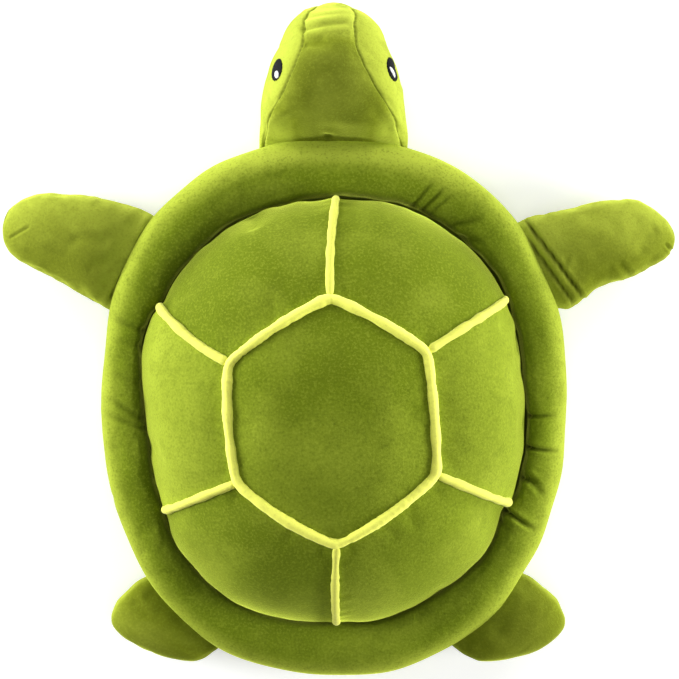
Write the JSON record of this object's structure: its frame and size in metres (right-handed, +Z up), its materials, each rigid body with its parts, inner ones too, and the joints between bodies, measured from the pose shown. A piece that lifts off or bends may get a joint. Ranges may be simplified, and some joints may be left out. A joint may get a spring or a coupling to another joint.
{
  "type": "plush turtle",
  "caption": "Stuffed toy turtle with a domed panelled shell, yellow piping, a padded rim, a head and four limbs that fold at their seams",
  "frame": {"origin": "on the flat resting face of the belly, under the middle of the shell", "axes": "+Y towards the head, +X towards the turtle's right side, +Z up out of the belly through the shell"},
  "size_m": [0.4571, 0.4515, 0.126],
  "materials": {
    "shell_plush": "short pile",
    "limb_plush": "short pile",
    "piping": "short pile",
    "stuffing": "fibre fill",
    "eye_thread": "embroidery",
    "highlight_thread": "embroidery"
  },
  "bodies": {
    "shell": {"centre_shell_panel": "shell_plush", "front_left_shell_panel": "shell_plush", "left_shell_panel": "shell_plush", "rear_left_shell_panel": "shell_plush", "rear_right_shell_panel": "shell_plush", "right_shell_panel": "shell_plush", "front_right_shell_panel": "shell_plush", "hexagon_piping": "piping", "front_spoke_piping": "piping", "front_left_spoke_piping": "piping", "rear_left_spoke_piping": "piping", "rear_spoke_piping": "piping", "rear_right_spoke_piping": "piping", "front_right_spoke_piping": "piping", "rim_cover": "shell_plush", "rim_stuffing": "stuffing", "shell_stuffing": "stuffing", "belly_panel": "shell_plush"},
    "head": {"head_top_gusset": "limb_plush", "head_left_panel": "limb_plush", "head_right_panel": "limb_plush", "head_chin_panel": "limb_plush", "head_stuffing": "stuffing", "left_eye": "eye_thread", "right_eye": "eye_thread", "left_eye_highlight": "highlight_thread", "right_eye_highlight": "highlight_thread"},
    "left_flipper": {"left_flipper_top_panel": "limb_plush", "left_flipper_bottom_panel": "limb_plush", "left_flipper_stuffing": "stuffing"},
    "right_flipper": {"right_flipper_top_panel": "limb_plush", "right_flipper_bottom_panel": "limb_plush", "right_flipper_stuffing": "stuffing"},
    "left_foot": {"left_foot_top_panel": "limb_plush", "left_foot_bottom_panel": "limb_plush", "left_foot_stuffing": "stuffing"},
    "right_foot": {"right_foot_top_panel": "limb_plush", "right_foot_bottom_panel": "limb_plush", "right_foot_stuffing": "stuffing"}
  },
  "joints": [
    {"name": "head_nod", "type": "hinge", "parent": "shell", "child": "head", "pos_m": [0, 0.1845, 0.02], "axis": [1, 0, 0], "range_deg": [-20, 20], "stiffness_Nm_per_rad": 0.5},
    {"name": "left_flipper_flap", "type": "hinge", "parent": "shell", "child": "left_flipper", "pos_m": [-0.14105, 0.10158, 0.02], "axis": [0.4346, 0.9006, 0], "range_deg": [-20, 50], "stiffness_Nm_per_rad": 0.15},
    {"name": "right_flipper_flap", "type": "hinge", "parent": "shell", "child": "right_flipper", "pos_m": [0.14231, 0.09891, 0.02], "axis": [0.4181, -0.9084, 0], "range_deg": [-20, 50], "stiffness_Nm_per_rad": 0.15},
    {"name": "left_foot_flap", "type": "hinge", "parent": "shell", "child": "left_foot", "pos_m": [-0.10539, -0.14609, 0.02], "axis": [-0.7224, 0.6914, 0], "range_deg": [-20, 50], "stiffness_Nm_per_rad": 0.05},
    {"name": "right_foot_flap", "type": "hinge", "parent": "shell", "child": "right_foot", "pos_m": [0.10733, -0.14419, 0.02], "axis": [-0.7091, -0.7051, 0], "range_deg": [-20, 50], "stiffness_Nm_per_rad": 0.05}
  ]
}
